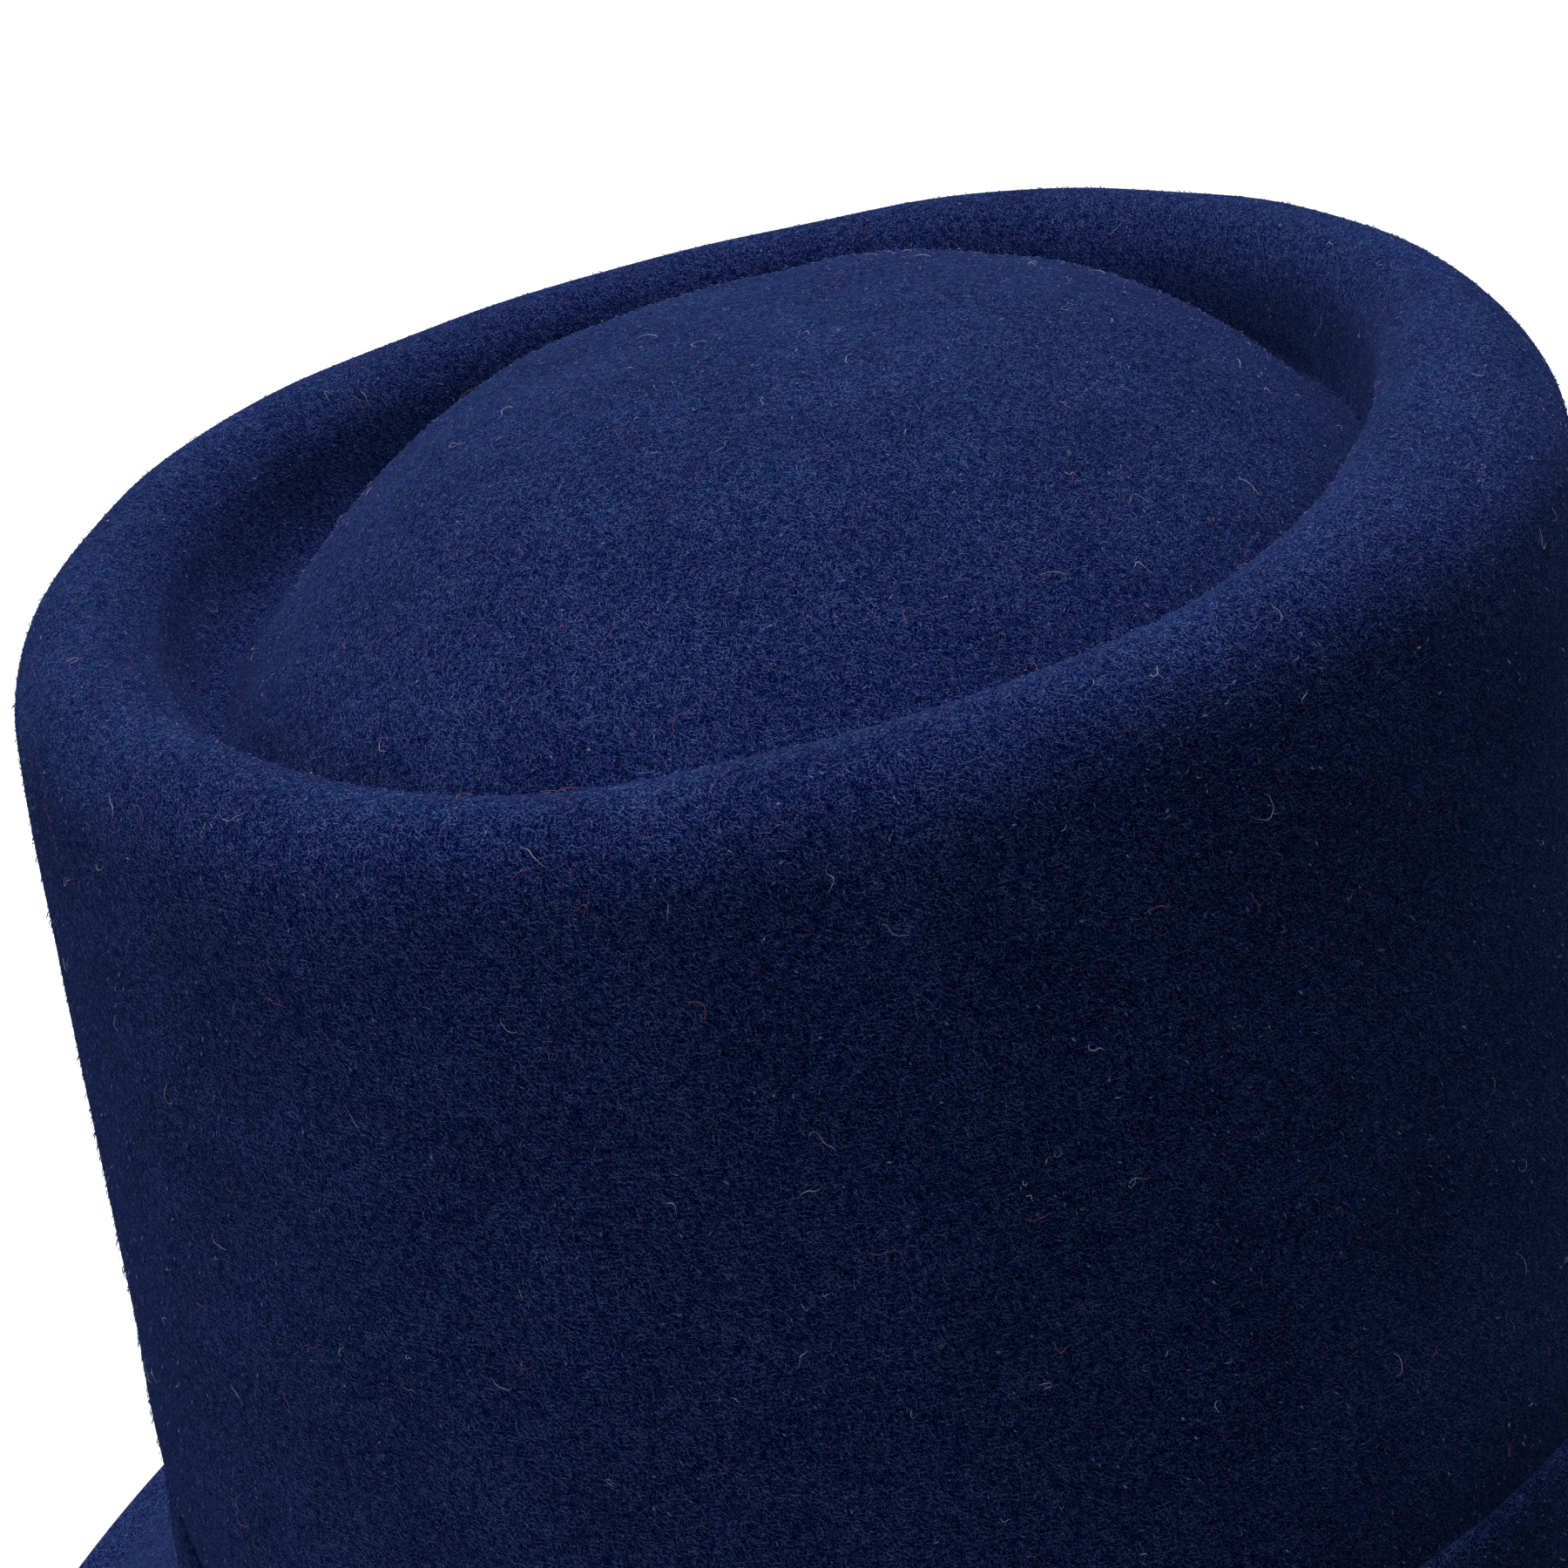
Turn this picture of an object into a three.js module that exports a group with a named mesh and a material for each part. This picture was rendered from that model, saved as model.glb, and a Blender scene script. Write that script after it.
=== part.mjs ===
// Felt hat with a telescope crown, in millimetres, +Z up.
// Crown and brim are one wall of blocked felt, open below for the head, and a strip of the
// same felt lies round the foot of the crown as a band.
// Zero height is the surface that the brim rests on. The long axis of the head runs along Y,
// and a turn round the hat is counted from the end at -Y, over +X.

import * as THREE from 'three';

// Felt
const FELT_THICKNESS = 2;
const FELT_COLOUR = 0x14265c;
const FELT_ROUGHNESS = 0.95;

// Head oval: outside of the crown wall where the brim starts
const HEAD_HALF_LENGTH = 100.5;
const HEAD_HALF_WIDTH = 86;
const CROWN_BASE_HEIGHT = 26.3;
const BREAK_RADIUS = 5;

// Ridge: the rounded rim of the crown, given at its crest line
const RIDGE_HALF_LENGTH = 84;
const RIDGE_HALF_WIDTH = 70.6;
const RIDGE_HEIGHT = 164.6;
const RIDGE_FALL_TO_NEAR_END = 3.7;
const RIDGE_RISE_AT_SIDES = 1.1;
const RIDGE_SHIFT = -1.5;
const RIDGE_EGG = 0.053;
const RIDGE_POWER = 1.874;
const OUTER_ROUND_WIDTH = 8;
const OUTER_ROUND_HEIGHT = 10;
const INNER_ROUND_WIDTH = 7;
const INNER_ROUND_HEIGHT = 8;

// Shoulder: the stretch on one side where the ridge is pressed broader
const SHOULDER = { turn: 84, reach: 36, inwards: 3.8, outwards: 2 };

// Valley and dome: the felt pushed down inside the ridge, and the crown top that stands in it
const VALLEY_DEPTH = 15.1;
const VALLEY_HALF_LENGTH = 75.6;
const VALLEY_HALF_WIDTH = 59.5;
const VALLEY_OUTLINE = 0.39;
const FLOOR_ROUND = 2.5;
const DOME_RISE = 28.2;
const DOME_POWER = 3;

// Brim
const BRIM_WIDTH_AT_ENDS = 64;
const BRIM_WIDTH_AT_SIDES = 47.5;
const EDGE_LIFT = { height: 7, turn: 116, reach: 45 };

// Band, and how far it draws the wall in behind it
const BAND_THICKNESS = 1.2;
const BAND_GAP = 0.3;
const BAND_BOTTOM = 32;
const BAND_TOP = 67.4;
const WAIST_DEPTH = 0.7;
const WAIST_REACH = 5;

// Fineness
const TURNS = 72;

// Sections of the brim, from the cut edge inwards:
// out is the share of its width from the crown, fall the share of its way down to the edge
const BRIM_SECTIONS = [
  { out: 1.0, fall: 1.0 },
  { out: 0.95, fall: 1.0 },
  { out: 0.9, fall: 1.0 },
  { out: 0.81, fall: 0.91 },
  { out: 0.67, fall: 0.735 },
  { out: 0.5, fall: 0.525 },
  { out: 0.33, fall: 0.315 },
  { out: 0.19, fall: 0.145 },
  { out: 0.1, fall: 0.045 },
];

// Sections of the bend between brim and wall, in shares of its radius
const BREAK_SECTIONS = [
  { out: 0.45, up: 0.1 },
  { out: 0.12, up: 0.45 },
  { out: 0.0, up: 1.1 },
];

// Heights of the wall's sections, as shares of its way from above the band to the ridge
const WALL_SHARES = [0, 0.33, 0.67];

// Turns of the ridge's sections, in degrees from its side to its crest
const ROUND_TURNS = [0, 28, 54, 76];

// Sections between the ridge's inner side and the floor of the valley
const VALLEY_SECTIONS = [
  { inwards: 0.22, down: 0.45 },
  { inwards: 0.55, down: 0.8 },
];

// Rings of the dome, as shares of the valley oval
const DOME_SHARES = [0.955, 0.9, 0.8, 0.66, 0.5, 0.34, 0.17];

function mix(from, to, share) {
  return from + (to - from) * share;
}

function signedPower(value, power) {
  return Math.sign(value) * Math.abs(value) ** power;
}

// Swells from 0 to 1 in the middle of a stretch of turns, in degrees, and back to 0
function swell(degrees, stretch) {
  const away = (degrees - stretch.turn) / stretch.reach;
  return Math.abs(away) < 1 ? 0.5 * (1 + Math.cos(Math.PI * away)) : 0;
}

// How far the cut edge stands off the surface, on both sides towards the far end
function edgeLift(turn) {
  const degreesFromNearEnd = THREE.MathUtils.radToDeg(Math.acos(Math.cos(turn)));
  return EDGE_LIFT.height * swell(degreesFromNearEnd, EDGE_LIFT);
}

function ridgeLift(turn) {
  return -RIDGE_FALL_TO_NEAR_END * Math.cos(turn) - RIDGE_RISE_AT_SIDES * Math.cos(2 * turn);
}

// A section is one oval ring of the felt's outer face. outline and ridge are the shares that it
// takes of the ridge's own outline and of its lift, edge is its share of the cut edge's lift, and
// broad is how far the shoulder moves it outwards.
function section(halfLength, halfWidth, height, { outline = 0, ridge = outline, edge = 0, broad = 0 }) {
  return { halfLength, halfWidth, height, outline, ridge, edge, broad };
}

function pointOn(ring, turn) {
  const power = 2 / mix(2, RIDGE_POWER, ring.outline);
  const egg = 1 + RIDGE_EGG * ring.outline * Math.cos(turn);
  const broad = ring.broad * swell(THREE.MathUtils.radToDeg(turn), SHOULDER);
  return new THREE.Vector3(
    (ring.halfWidth + broad) * signedPower(Math.sin(turn), power) * egg,
    -(ring.halfLength + broad) * signedPower(Math.cos(turn), power) + RIDGE_SHIFT * ring.outline,
    ring.height + ring.ridge * ridgeLift(turn) + ring.edge * edgeLift(turn),
  );
}

function brimSections() {
  return BRIM_SECTIONS.map(({ out, fall }) => section(
    HEAD_HALF_LENGTH + BRIM_WIDTH_AT_ENDS * out,
    HEAD_HALF_WIDTH + BRIM_WIDTH_AT_SIDES * out,
    mix(CROWN_BASE_HEIGHT, FELT_THICKNESS, fall),
    { edge: fall },
  ));
}

// The wall runs straight from the head oval to the ridge's outer side, drawn in by the band
function wallSection(height, standOff = 0) {
  const top = RIDGE_HEIGHT - OUTER_ROUND_HEIGHT;
  const share = (height - CROWN_BASE_HEIGHT) / (top - CROWN_BASE_HEIGHT);
  const overBand = Math.max(height - BAND_TOP, 0);
  const waist = WAIST_DEPTH * (1 - Math.min(overBand / WAIST_REACH, 1));
  const out = standOff - waist;
  return section(
    mix(HEAD_HALF_LENGTH, RIDGE_HALF_LENGTH + OUTER_ROUND_WIDTH, share) + out,
    mix(HEAD_HALF_WIDTH, RIDGE_HALF_WIDTH + OUTER_ROUND_WIDTH, share) + out,
    height,
    { outline: share, ridge: overBand / (top - BAND_TOP), broad: SHOULDER.outwards * share ** 2 },
  );
}

function breakSections() {
  return BREAK_SECTIONS.map(({ out, up }) => wallSection(
    CROWN_BASE_HEIGHT + BREAK_RADIUS * up,
    BREAK_RADIUS * out,
  ));
}

function wallSections() {
  const foot = BAND_TOP + WAIST_REACH;
  const top = RIDGE_HEIGHT - OUTER_ROUND_HEIGHT;
  return [BAND_TOP, ...WALL_SHARES.map((share) => mix(foot, top, share))]
    .map((height) => wallSection(height));
}

function roundSection(degrees, width, height, sideBroad) {
  const turn = THREE.MathUtils.degToRad(degrees);
  return section(
    RIDGE_HALF_LENGTH + width * Math.cos(turn),
    RIDGE_HALF_WIDTH + width * Math.cos(turn),
    RIDGE_HEIGHT - height * (1 - Math.sin(turn)),
    { outline: 1, broad: mix(-SHOULDER.inwards, sideBroad, Math.cos(turn)) },
  );
}

function ridgeSections() {
  const outer = ROUND_TURNS.map((turn) => roundSection(
    turn,
    OUTER_ROUND_WIDTH,
    OUTER_ROUND_HEIGHT,
    SHOULDER.outwards,
  ));
  const crest = roundSection(90, 0, 0, 0);
  const inner = ROUND_TURNS.map((turn) => roundSection(
    turn,
    -INNER_ROUND_WIDTH,
    INNER_ROUND_HEIGHT,
    -SHOULDER.inwards,
  ));
  return [...outer, crest, ...inner.reverse()];
}

function valleySections() {
  return VALLEY_SECTIONS.map(({ inwards, down }) => section(
    mix(RIDGE_HALF_LENGTH - INNER_ROUND_WIDTH, VALLEY_HALF_LENGTH, inwards),
    mix(RIDGE_HALF_WIDTH - INNER_ROUND_WIDTH, VALLEY_HALF_WIDTH, inwards),
    RIDGE_HEIGHT - mix(INNER_ROUND_HEIGHT, VALLEY_DEPTH, down),
    { outline: mix(1, VALLEY_OUTLINE, inwards), ridge: 1, broad: mix(-SHOULDER.inwards, 0, inwards) },
  ));
}

// The dome rises out of the valley's rounded floor
function domeSection(share) {
  const fallen = share ** DOME_POWER;
  const risen = Math.hypot(DOME_RISE * (1 - fallen), FLOOR_ROUND) - FLOOR_ROUND;
  return section(
    VALLEY_HALF_LENGTH * share,
    VALLEY_HALF_WIDTH * share,
    RIDGE_HEIGHT - VALLEY_DEPTH + risen,
    { outline: VALLEY_OUTLINE * fallen, ridge: fallen },
  );
}

function domeSections() {
  return [1, ...DOME_SHARES].map(domeSection);
}

function turnAt(step) {
  return (2 * Math.PI * step) / TURNS;
}

function ringPoints(ring) {
  return Array.from({ length: TURNS }, (_, step) => pointOn(ring, turnAt(step)));
}

// Moves each point of a ring inwards by the felt's thickness, square to the outer face
function innerRing(rings, row) {
  const before = rings[Math.max(row - 1, 0)];
  const after = rings[Math.min(row + 1, rings.length - 1)];
  return rings[row].map((point, step) => {
    const next = rings[row][(step + 1) % TURNS];
    const last = rings[row][(step + TURNS - 1) % TURNS];
    const around = next.clone().sub(last);
    const upwards = after[step].clone().sub(before[step]);
    const normal = around.cross(upwards).normalize();
    return point.clone().addScaledVector(normal, -FELT_THICKNESS);
  });
}

// The felt is pressed flat where it would pass the surface
function pressedFlat(ring, lowest) {
  return ring.map((point) => point.setZ(Math.max(point.z, lowest)));
}

// Closed body through rings of points. A chain of rings ends in a point at each end, and a
// loop of rings goes round to its first ring again.
function loftedGeometry(rings, ends) {
  const positions = rings.flat().flatMap((point) => point.toArray());
  const indices = [];
  const spans = ends ? rings.length - 1 : rings.length;
  for (let row = 0; row < spans; row += 1) {
    const lower = row * TURNS;
    const upper = ((row + 1) % rings.length) * TURNS;
    for (let step = 0; step < TURNS; step += 1) {
      const next = (step + 1) % TURNS;
      indices.push(lower + step, lower + next, upper + next);
      indices.push(lower + step, upper + next, upper + step);
    }
  }
  if (ends) {
    const first = rings.length * TURNS;
    const top = (rings.length - 1) * TURNS;
    ends.forEach((point) => positions.push(...point.toArray()));
    for (let step = 0; step < TURNS; step += 1) {
      const next = (step + 1) % TURNS;
      indices.push(first, next, step);
      indices.push(first + 1, top + step, top + next);
    }
  }
  const geometry = new THREE.BufferGeometry();
  geometry.setAttribute('position', new THREE.Float32BufferAttribute(positions, 3));
  geometry.setIndex(indices);
  geometry.computeVertexNormals();
  return geometry;
}

function feltBodyGeometry() {
  const outer = [
    ...brimSections(),
    ...breakSections(),
    ...wallSections(),
    ...ridgeSections(),
    ...valleySections(),
    ...domeSections(),
  ].map(ringPoints);
  const inner = outer.map((_, row) => pressedFlat(innerRing(outer, row), 0));
  const apex = new THREE.Vector3(0, 0, domeSection(0).height);
  const underApex = apex.clone().setZ(apex.z - FELT_THICKNESS);
  return loftedGeometry([...inner.reverse(), ...outer], [underApex, apex]);
}

function hatBandGeometry() {
  const inside = BAND_GAP;
  const outside = BAND_GAP + BAND_THICKNESS;
  return loftedGeometry([
    wallSection(BAND_BOTTOM, inside),
    wallSection(BAND_BOTTOM, outside),
    wallSection(BAND_TOP, outside),
    wallSection(BAND_TOP, inside),
  ].map(ringPoints));
}

function piece(name, geometry) {
  const material = new THREE.MeshStandardMaterial({
    color: FELT_COLOUR,
    roughness: FELT_ROUGHNESS,
    metalness: 0,
  });
  const mesh = new THREE.Mesh(geometry, material);
  mesh.name = name;
  return mesh;
}

const hat = new THREE.Group();
hat.add(piece('felt_body', feltBodyGeometry()));
hat.add(piece('hat_band', hatBandGeometry()));

export default hat;
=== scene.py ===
# %% [markdown]
# A navy felt hat, dressed for its picture.
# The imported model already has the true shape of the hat: one wall of blocked felt for crown and
# brim, and a strip of the same felt round the foot of the crown. What it lacks is what makes felt
# look soft: a smooth skin, the matted wool, and loose fibres that catch the light. This lesson adds
# those, in the model's own place and size, and then sets the floor and the light.

import bpy
import numpy as np
from mathutils import Matrix


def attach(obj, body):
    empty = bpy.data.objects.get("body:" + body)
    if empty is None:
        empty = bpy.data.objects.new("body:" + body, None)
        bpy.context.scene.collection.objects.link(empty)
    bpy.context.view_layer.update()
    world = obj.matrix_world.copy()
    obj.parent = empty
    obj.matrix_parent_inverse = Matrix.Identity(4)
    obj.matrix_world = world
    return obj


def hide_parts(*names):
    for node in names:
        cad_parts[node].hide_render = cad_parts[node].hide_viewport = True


MM = 0.001

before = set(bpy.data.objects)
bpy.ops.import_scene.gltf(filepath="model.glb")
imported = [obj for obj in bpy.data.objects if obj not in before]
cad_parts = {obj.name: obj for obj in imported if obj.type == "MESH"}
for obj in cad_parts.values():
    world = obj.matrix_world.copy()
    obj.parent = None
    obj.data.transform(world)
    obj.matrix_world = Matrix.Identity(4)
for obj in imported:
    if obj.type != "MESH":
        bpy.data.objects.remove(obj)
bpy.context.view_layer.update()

# %% [markdown]
# The camera comes first, because all later looks are judged through it.
# It stands close to the hat, a little above the crown, and it is rolled over by some ten degrees,
# so that the crown leans to the left in the frame. Three directions say how a camera is turned:
# its right, its up and its back. They become the columns of its matrix.

# %% Camera
AZIMUTH = np.radians(22.627)
ELEVATION = np.radians(21.928)
ROLL = np.radians(9.937)
AIM = np.array([0.0, 0.0, 131.2])
DISTANCE = 367.0
SLIDE_RIGHT = -5.509
SLIDE_UP = -7.338
FOCAL_PIXELS = 3894.86
FRAME_PIXELS = 1800
SENSOR_WIDTH = 36.0
NEAREST_SEEN = 0.01

back = np.array([
    np.sin(AZIMUTH) * np.cos(ELEVATION),
    -np.cos(AZIMUTH) * np.cos(ELEVATION),
    np.sin(ELEVATION),
])
level_right = np.array([np.cos(AZIMUTH), np.sin(AZIMUTH), 0.0])
level_up = np.cross(back, level_right)
right = np.cos(ROLL) * level_right - np.sin(ROLL) * level_up
up = np.sin(ROLL) * level_right + np.cos(ROLL) * level_up
eye = (AIM + DISTANCE * back + SLIDE_RIGHT * right + SLIDE_UP * up) * MM

turned = np.eye(4)
turned[:3, :3] = np.stack([right, up, back], axis=1)
turned[:3, 3] = eye
camera = bpy.data.objects.new("camera", bpy.data.cameras.new("camera"))
camera.matrix_world = Matrix(turned.tolist())
camera.data.sensor_width = SENSOR_WIDTH
camera.data.lens = SENSOR_WIDTH * FOCAL_PIXELS / FRAME_PIXELS
camera.data.clip_start = NEAREST_SEEN
bpy.context.scene.collection.objects.link(camera)
bpy.context.scene.camera = camera
print("camera at", np.round(eye, 3).tolist(), "lens", round(camera.data.lens, 2))


# %% [markdown]
# A hat is blocked: wet felt is pulled over a wooden form and pushed into its hollows. Each level
# line round such a form is an oval, so the whole skin can be told as a row of ovals, from the cut
# edge of the brim to the middle of the crown. An oval is one line of seven numbers: half its
# length, half its width, its height, and how far it takes part in the ridge's outline, the ridge's
# lift, the brim's lift and the broad shoulder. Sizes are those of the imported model, in millimetres.
# The wall is drawn in by a hair under the band, so that it shows a waist above it.

# %% Ovals of brim and wall
FELT_THICKNESS = 2.0
HEAD_HALF_LENGTH = 100.5
HEAD_HALF_WIDTH = 86.0
CROWN_BASE_HEIGHT = 26.3
BRIM_WIDTH_AT_ENDS = 64.0
BRIM_WIDTH_AT_SIDES = 47.5
RIDGE_HALF_LENGTH = 84.0
RIDGE_HALF_WIDTH = 70.6
RIDGE_HEIGHT = 164.6
OUTER_ROUND = {"width": 8.0, "height": 10.0}
SHOULDER = {"turn": 84.0, "reach": 36.0, "inwards": 3.8, "outwards": 2.0}
BAND_TOP = 67.4
WAIST_DEPTH = 0.7
WAIST_REACH = 5.0


def mix(low, high, share):
    return low + (high - low) * share


def oval(half_length, half_width, height, outline=0.0, ridge=None, edge=0.0, broad=0.0):
    lift = outline if ridge is None else ridge
    return [half_length, half_width, height, outline, lift, edge, broad]


def brim_oval(out, fall):
    return oval(
        HEAD_HALF_LENGTH + BRIM_WIDTH_AT_ENDS * out,
        HEAD_HALF_WIDTH + BRIM_WIDTH_AT_SIDES * out,
        mix(CROWN_BASE_HEIGHT, FELT_THICKNESS, fall),
        edge=fall,
    )


def wall_oval(height, stand_off=0.0):
    top = RIDGE_HEIGHT - OUTER_ROUND["height"]
    share = (height - CROWN_BASE_HEIGHT) / (top - CROWN_BASE_HEIGHT)
    over_band = max(height - BAND_TOP, 0.0)
    out = stand_off - WAIST_DEPTH * (1 - min(over_band / WAIST_REACH, 1.0))
    return oval(
        mix(HEAD_HALF_LENGTH, RIDGE_HALF_LENGTH + OUTER_ROUND["width"], share) + out,
        mix(HEAD_HALF_WIDTH, RIDGE_HALF_WIDTH + OUTER_ROUND["width"], share) + out,
        height,
        outline=share,
        ridge=over_band / (top - BAND_TOP),
        broad=SHOULDER["outwards"] * share ** 2,
    )


head_girth = np.pi * (HEAD_HALF_LENGTH + HEAD_HALF_WIDTH - 2 * FELT_THICKNESS)
print("head girth about", round(head_girth), "mm, brim edge", np.round(brim_oval(1, 1)[:3], 1).tolist())


# %% [markdown]
# The crown's top is pressed into a ring. The outer half of the rounded ridge falls to the wall, the
# inner half to a valley, and out of the valley rises a low dome. The ridge is two quarter rounds of
# their own widths and heights. The dome is a flat cubic bowl turned over, with a soft foot, so that
# it leaves the valley without a crease.

# %% Ovals of ridge, valley and dome
INNER_ROUND = {"width": 7.0, "height": 8.0}
VALLEY_DEPTH = 15.1
VALLEY_HALF_LENGTH = 75.6
VALLEY_HALF_WIDTH = 59.5
VALLEY_OUTLINE = 0.39
FLOOR_ROUND = 2.5
DOME_RISE = 28.2
DOME_POWER = 3


def ridge_oval(degrees, side, size, side_broad):
    out = np.cos(np.radians(degrees))
    return oval(
        RIDGE_HALF_LENGTH + side * size["width"] * out,
        RIDGE_HALF_WIDTH + side * size["width"] * out,
        RIDGE_HEIGHT - size["height"] * (1 - np.sin(np.radians(degrees))),
        outline=1.0,
        broad=mix(-SHOULDER["inwards"], side_broad, out),
    )


def valley_oval(inwards, down):
    return oval(
        mix(RIDGE_HALF_LENGTH - INNER_ROUND["width"], VALLEY_HALF_LENGTH, inwards),
        mix(RIDGE_HALF_WIDTH - INNER_ROUND["width"], VALLEY_HALF_WIDTH, inwards),
        RIDGE_HEIGHT - mix(INNER_ROUND["height"], VALLEY_DEPTH, down),
        outline=mix(1.0, VALLEY_OUTLINE, inwards),
        ridge=1.0,
        broad=mix(-SHOULDER["inwards"], 0.0, inwards),
    )


def dome_oval(share):
    fallen = share ** DOME_POWER
    risen = np.hypot(DOME_RISE * (1 - fallen), FLOOR_ROUND) - FLOOR_ROUND
    return oval(
        VALLEY_HALF_LENGTH * share,
        VALLEY_HALF_WIDTH * share,
        RIDGE_HEIGHT - VALLEY_DEPTH + risen,
        outline=VALLEY_OUTLINE * fallen,
        ridge=fallen,
    )


print("valley floor at", round(dome_oval(1.0)[2], 1), "mm, apex at", round(dome_oval(0.0)[2], 1), "mm")

# %% [markdown]
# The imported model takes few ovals, with flat facets between them. Here a smooth curve is laid
# through the same ovals and cut again every millimetre and a half. The curve is a cubic one, which
# passes through each oval with the slope that its neighbours give it, so nothing moves off the
# solid by more than the facets do.

# %% A smooth row of ovals from edge to apex
BREAK_RADIUS = 5.0
BRIM_STEPS = (
    (1.0, 1.0), (0.95, 1.0), (0.9, 1.0), (0.81, 0.91), (0.67, 0.735),
    (0.5, 0.525), (0.33, 0.315), (0.19, 0.145), (0.1, 0.045),
)
BREAK_STEPS = ((0.45, 0.1), (0.12, 0.45), (0.0, 1.1))
WALL_STEPS = (0.0, 0.25, 0.5, 0.75)
ROUND_STEPS = (0, 15, 30, 45, 60, 75)
VALLEY_STEPS = ((0.22, 0.45), (0.55, 0.8))
DOME_STEPS = (1.0, 0.955, 0.9, 0.85, 0.8, 0.73, 0.66, 0.58, 0.5, 0.42, 0.34, 0.25, 0.17, 0.09, 0.03)
ROW_SPACING = 1.5


def felt_ovals():
    wall_foot = BAND_TOP + WAIST_REACH
    wall_top = RIDGE_HEIGHT - OUTER_ROUND["height"]
    ovals = [brim_oval(out, fall) for out, fall in BRIM_STEPS]
    for out, climb in BREAK_STEPS:
        ovals.append(wall_oval(CROWN_BASE_HEIGHT + BREAK_RADIUS * climb, BREAK_RADIUS * out))
    ovals.append(wall_oval(BAND_TOP))
    ovals += [wall_oval(mix(wall_foot, wall_top, share)) for share in WALL_STEPS]
    ovals += [ridge_oval(turn, 1, OUTER_ROUND, SHOULDER["outwards"]) for turn in ROUND_STEPS]
    ovals.append(ridge_oval(90, 1, OUTER_ROUND, 0.0))
    for turn in reversed(ROUND_STEPS):
        ovals.append(ridge_oval(turn, -1, INNER_ROUND, -SHOULDER["inwards"]))
    ovals += [valley_oval(inwards, down) for inwards, down in VALLEY_STEPS]
    ovals += [dome_oval(share) for share in DOME_STEPS]
    return np.array(ovals)


def smooth_rows(ovals, spacing):
    steps = np.hypot(np.diff(ovals[:, 1]), np.diff(ovals[:, 2]))
    along = np.concatenate([[0.0], np.cumsum(steps)])
    slopes = np.gradient(ovals, along, axis=0)
    places = np.linspace(0.0, along[-1], int(along[-1] / spacing) + 1)
    span = np.clip(np.searchsorted(along, places, side="right") - 1, 0, len(along) - 2)
    length = (along[span + 1] - along[span])[:, None]
    share = (places - along[span])[:, None] / length
    start = (1 + 2 * share) * (1 - share) ** 2 * ovals[span]
    end = share ** 2 * (3 - 2 * share) * ovals[span + 1]
    leave = share * (1 - share) ** 2 * length * slopes[span]
    arrive = share ** 2 * (share - 1) * length * slopes[span + 1]
    return start + end + leave + arrive


rows = smooth_rows(felt_ovals(), ROW_SPACING)
print("ovals:", len(felt_ovals()), "rows of the fine skin:", len(rows))

# %% [markdown]
# Each row becomes a ring of points. A turn round the hat is counted from the end at -Y, over +X.
# The ridge is a little egg-shaped and falls towards the near end, one side of it is pressed broader
# than the other, and the brim lifts off the table on both sides. Where two neighbours of a point
# are known, round the ring and up the rows, their cross product gives the way the felt faces.

# %% Points on the rows
TURNS = 300
UPWARDS = (0.0, 0.0, 1.0)
ELLIPSE_POWER = 2
RIDGE_FALL_TO_NEAR_END = 3.7
RIDGE_RISE_AT_SIDES = 1.1
RIDGE_SHIFT = -1.5
RIDGE_EGG = 0.053
RIDGE_POWER = 1.874
EDGE_LIFT = {"height": 7.0, "turn": 116.0, "reach": 45.0}


def signed_power(value, power):
    return np.sign(value) * np.abs(value) ** power


def swell(degrees, stretch):
    away = np.clip((degrees - stretch["turn"]) / stretch["reach"], -1.0, 1.0)
    return 0.5 * (1 + np.cos(np.pi * away))


def points_on(lines, turns):
    length, width, height, outline, ridge, edge, broad = np.moveaxis(lines[:, :, None], 1, 0)
    turn = turns[None, :]
    power = ELLIPSE_POWER / mix(ELLIPSE_POWER, RIDGE_POWER, outline)
    wider = broad * swell(np.degrees(turn), SHOULDER)
    egg = 1 + RIDGE_EGG * outline * np.cos(turn)
    ridge_lift = -RIDGE_FALL_TO_NEAR_END * np.cos(turn) - RIDGE_RISE_AT_SIDES * np.cos(2 * turn)
    edge_lift = EDGE_LIFT["height"] * swell(np.degrees(np.arccos(np.cos(turn))), EDGE_LIFT)
    x = (width + wider) * signed_power(np.sin(turn), power) * egg
    y = -(length + wider) * signed_power(np.cos(turn), power) + RIDGE_SHIFT * outline
    z = height + ridge * ridge_lift + edge * edge_lift
    return np.stack([x, y, z], axis=-1)


def unit(vectors):
    return vectors / np.linalg.norm(vectors, axis=-1, keepdims=True)


def facing(grid):
    around = np.roll(grid, -1, axis=1) - np.roll(grid, 1, axis=1)
    upwards = np.gradient(grid, axis=0)
    return unit(np.cross(around, upwards))


turns = np.arange(TURNS) * 2 * np.pi / TURNS
smooth_face = points_on(rows, turns)
print("outer face:", smooth_face.shape, "up to", round(float(smooth_face[:, :, 2].max()), 1), "mm high")

# %% [markdown]
# A hand-blocked crown is never quite even, so slow waves of a few tenths of a millimetre run over
# it. They could be sculpted, but four sines of different lengths are enough and give the same hat
# each time. They fade out towards the brim, which has to lie flat, and at the middle of the dome.

# %% Waves left by the hand
HAND_WAVES = (
    {"round": 2, "size": 0.25, "start": 0.6, "climb": 60.0},
    {"round": 5, "size": 0.2, "start": 2.1, "climb": -45.0},
    {"round": 9, "size": 0.12, "start": 4.0, "climb": 25.0},
    {"round": 17, "size": 0.06, "start": 1.2, "climb": -14.0},
)
FADE_ABOVE_BAND = 30.0
FADE_AT_APEX = 25.0

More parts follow.
